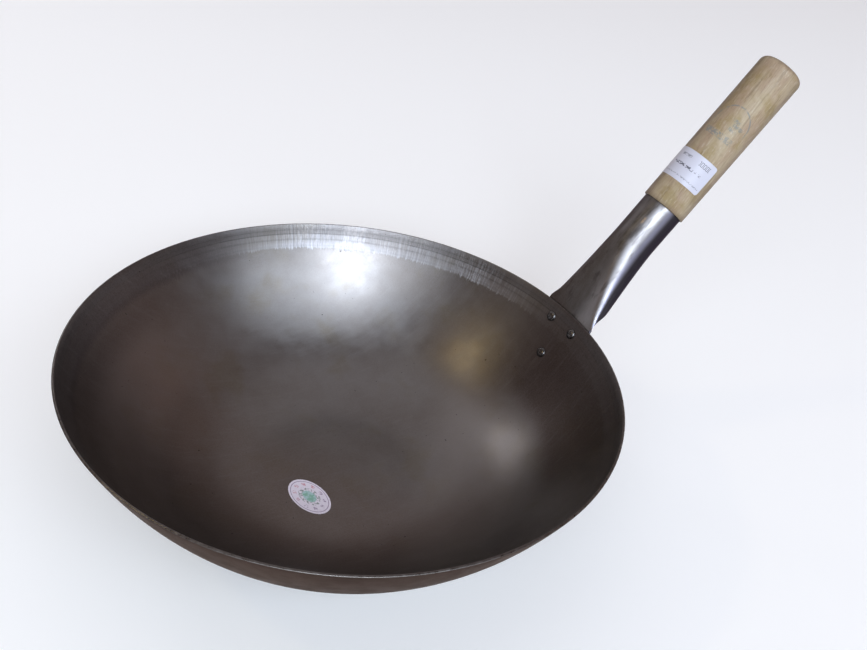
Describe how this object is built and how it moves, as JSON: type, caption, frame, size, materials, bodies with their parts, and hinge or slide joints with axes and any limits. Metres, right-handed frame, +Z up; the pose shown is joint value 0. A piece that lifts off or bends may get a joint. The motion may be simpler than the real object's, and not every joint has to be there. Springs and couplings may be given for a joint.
{
  "type": "carbon steel wok",
  "caption": "Round pressed steel wok with a gently dished bottom, a rolled sheet socket riveted outside the rim and an upswept turned wood grip.",
  "frame": {"origin": "centre of the bowl's flat base, on its outside, where the wok stands", "axes": "+Z up along the bowl's axis, +X towards the handle, +Y along the rim so that the handle's plane is y = 0"},
  "size_m": [0.4667, 0.3298, 0.2616],
  "materials": {
    "bowl_steel": "dark grey-brown carbon steel, satin, with press marks under the rim",
    "socket_steel": "smooth rolled steel sheet, semi-bright",
    "rivet_steel": "dull hammered steel",
    "grip_wood": "pale bare wood, turned and lightly sanded",
    "nail_steel": "plain bright wire nail",
    "sticker_paper": "coated paper",
    "label_paper": "coated paper"
  },
  "bodies": {
    "root": {"wok_bowl": "bowl_steel", "handle_socket": "socket_steel", "rivet_left": "rivet_steel", "rivet_right": "rivet_steel", "rivet_lower": "rivet_steel", "wood_grip": "grip_wood", "grip_nail": "nail_steel", "bowl_sticker": "sticker_paper", "grip_label": "label_paper"}
  },
  "joints": []
}
